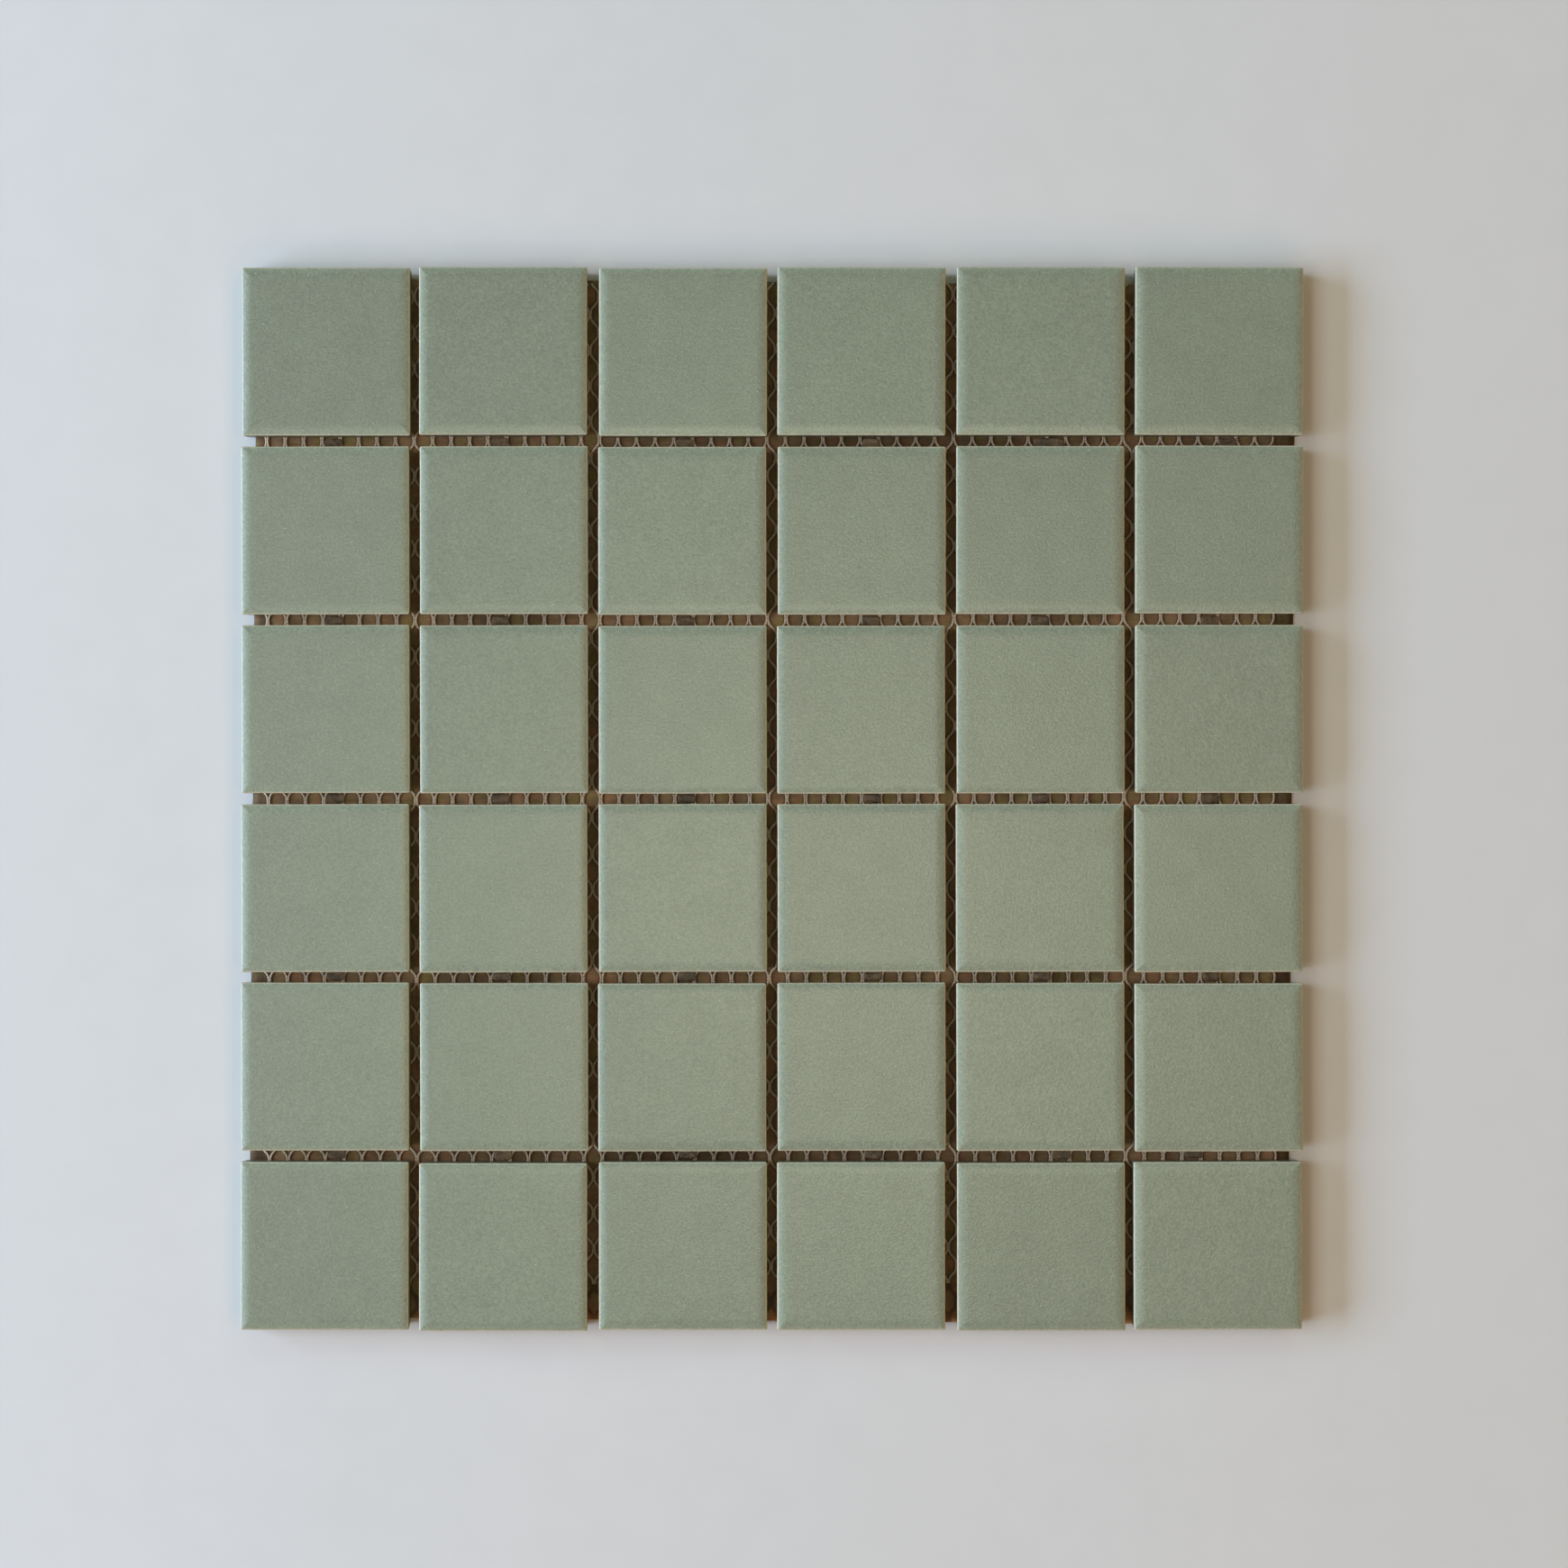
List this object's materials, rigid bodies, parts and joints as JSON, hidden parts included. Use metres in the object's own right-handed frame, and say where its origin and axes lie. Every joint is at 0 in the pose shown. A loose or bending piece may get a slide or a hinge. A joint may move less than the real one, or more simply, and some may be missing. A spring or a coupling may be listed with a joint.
{
  "type": "mosaic tile sheet",
  "caption": "Square sheet of matt sage green porcelain mosaic tiles with cushion edges and even joints, held on a hexagonal carrier net with a brown kraft release paper behind it.",
  "frame": {"origin": "middle of the sheet, on the underside of the paper that the sheet lies on", "axes": "+X along the rows to the picture's right, +Y up the columns to its top, +Z out of the tiles' faces"},
  "size_m": [0.3032, 0.3036, 0.0066],
  "materials": {
    "tile": "matt unglazed porcelain, sage green right through, fine pitted grain",
    "net": "off-white knitted thread, stiffened",
    "glue": "dried clear glue, grey over the paper, satin",
    "paper": "brown kraft paper, matt, fine fibres"
  },
  "bodies": {
    "root": {"tile_r1_c1": "tile", "tile_r1_c2": "tile", "tile_r1_c3": "tile", "tile_r1_c4": "tile", "tile_r1_c5": "tile", "tile_r1_c6": "tile", "tile_r2_c1": "tile", "tile_r2_c2": "tile", "tile_r2_c3": "tile", "tile_r2_c4": "tile", "tile_r2_c5": "tile", "tile_r2_c6": "tile", "tile_r3_c1": "tile", "tile_r3_c2": "tile", "tile_r3_c3": "tile", "tile_r3_c4": "tile", "tile_r3_c5": "tile", "tile_r3_c6": "tile", "tile_r4_c1": "tile", "tile_r4_c2": "tile", "tile_r4_c3": "tile", "tile_r4_c4": "tile", "tile_r4_c5": "tile", "tile_r4_c6": "tile", "tile_r5_c1": "tile", "tile_r5_c2": "tile", "tile_r5_c3": "tile", "tile_r5_c4": "tile", "tile_r5_c5": "tile", "tile_r5_c6": "tile", "tile_r6_c1": "tile", "tile_r6_c2": "tile", "tile_r6_c3": "tile", "tile_r6_c4": "tile", "tile_r6_c5": "tile", "tile_r6_c6": "tile", "backing_net_1": "net", "backing_net_2": "net", "backing_net_3": "net", "backing_net_4": "net", "backing_net_5": "net", "glue_dabs_1": "glue", "glue_dabs_2": "glue", "glue_dabs_3": "glue", "glue_dabs_4": "glue", "glue_dabs_5": "glue", "backing_paper": "paper"}
  },
  "joints": []
}
